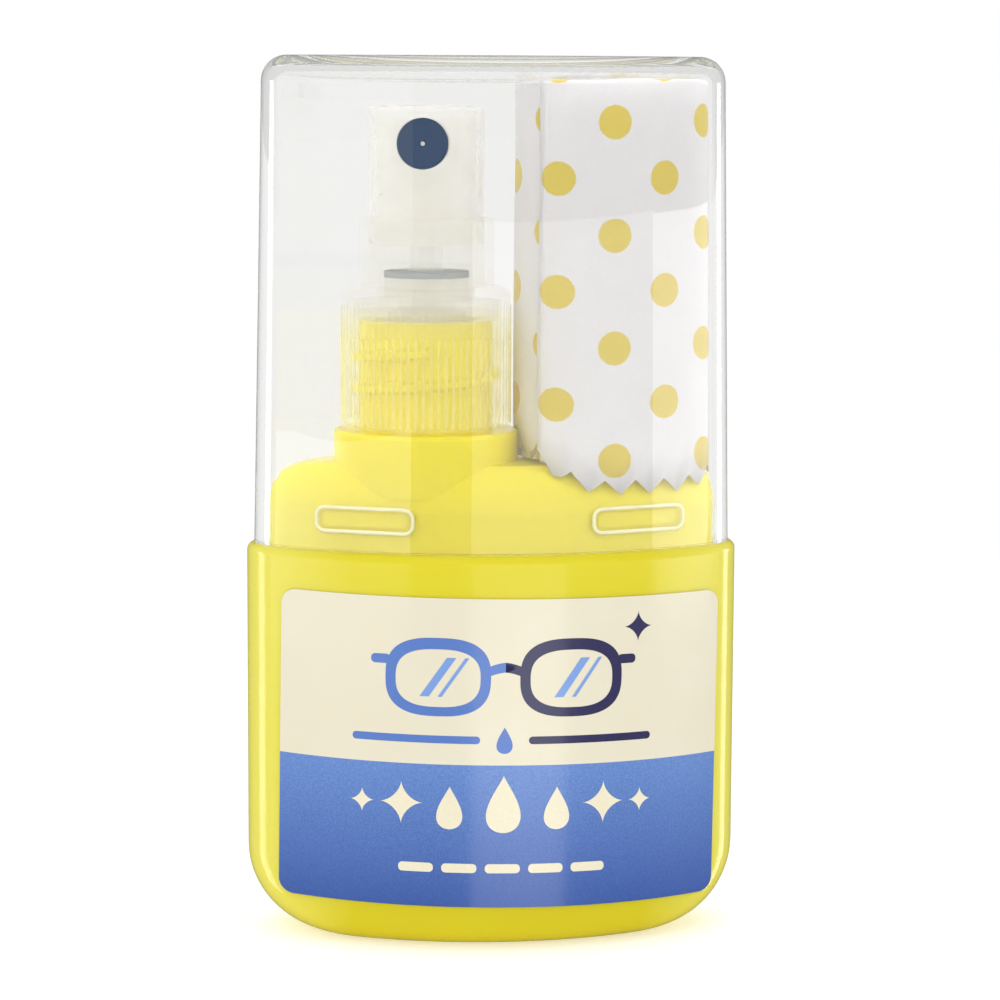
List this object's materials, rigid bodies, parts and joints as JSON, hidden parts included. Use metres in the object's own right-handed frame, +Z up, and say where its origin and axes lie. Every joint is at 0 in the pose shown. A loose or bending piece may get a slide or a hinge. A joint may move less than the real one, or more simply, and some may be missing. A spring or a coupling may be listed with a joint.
{
  "type": "lens cleaning spray",
  "caption": "Pocket oval spray bottle with a fine-mist pump and a rolled cleaning cloth side by side under one clear overcap.",
  "frame": {"origin": "middle of the bottle's flat base", "axes": "+Z up to the top of the overcap, +X along the width towards the cloth, -Y out of the front label and nozzle"},
  "size_m": [0.0482, 0.0244, 0.0859],
  "materials": {
    "bottle_plastic": "glossy translucent yellow",
    "fluid": "clear fluid",
    "label_stock": "printed gloss label",
    "clear_plastic": "clear moulded styrene",
    "natural_plastic": "natural polypropylene",
    "navy_plastic": "glossy",
    "navy_rubber": "satin",
    "white_foam": "matt foam",
    "steel": "bright",
    "tube_plastic": "clear polyethylene",
    "cloth": "soft knitted microfibre"
  },
  "bodies": {
    "bottle": {"bottle": "bottle_plastic", "front_label": "label_stock", "back_label": "label_stock", "cleaning_fluid": "fluid"},
    "overcap": {"overcap": "clear_plastic"},
    "cloth": {"microfibre_cloth": "cloth"},
    "pump": {"pump_housing": "natural_plastic", "neck_gasket": "white_foam", "stem_gasket": "navy_rubber", "housing_cap": "natural_plastic", "ball_retainer": "natural_plastic", "dip_tube": "tube_plastic"},
    "closure": {"screw_closure": "natural_plastic"},
    "stem": {"stem": "natural_plastic", "piston_seat": "natural_plastic", "piston": "natural_plastic", "return_spring": "steel"},
    "actuator": {"actuator": "natural_plastic", "nozzle_insert": "navy_plastic"},
    "inlet_ball": {"inlet_ball": "steel"}
  },
  "joints": [
    {"name": "overcap_lift", "type": "slide", "parent": "bottle", "child": "overcap", "axis": [0, 0, 1], "range_m": [0, 0.06]},
    {"name": "cloth_draw", "type": "slide", "parent": "bottle", "child": "cloth", "axis": [0, 0, 1], "range_m": [0, 0.03]},
    {"name": "pump_lift", "type": "slide", "parent": "bottle", "child": "pump", "axis": [0, 0, 1], "range_m": [0, 0.003]},
    {"name": "closure_turn", "type": "hinge", "parent": "pump", "child": "closure", "pos_m": [-0.0065, 0, 0], "axis": [0, 0, 1], "range_deg": [0, 341]},
    {"name": "actuator_press", "type": "slide", "parent": "pump", "child": "stem", "axis": [0, 0, -1], "range_m": [0, 0.004], "stiffness_N_per_m": 350, "springref_m": -0.002, "deforming": ["return_spring"]},
    {"name": "actuator_turn", "type": "hinge", "parent": "stem", "child": "actuator", "pos_m": [-0.0065, 0, 0], "axis": [0, 0, 1], "continuous": true},
    {"name": "inlet_ball_lift", "type": "slide", "parent": "pump", "child": "inlet_ball", "axis": [0, 0, 1], "range_m": [0, 0.0008]}
  ],
  "couplings": [
    {"joint": "cloth_draw", "follows": "overcap_lift", "ratio": 0.5},
    {"joint": "closure_turn", "follows": "pump_lift", "rad_per_m": 1979}
  ]
}
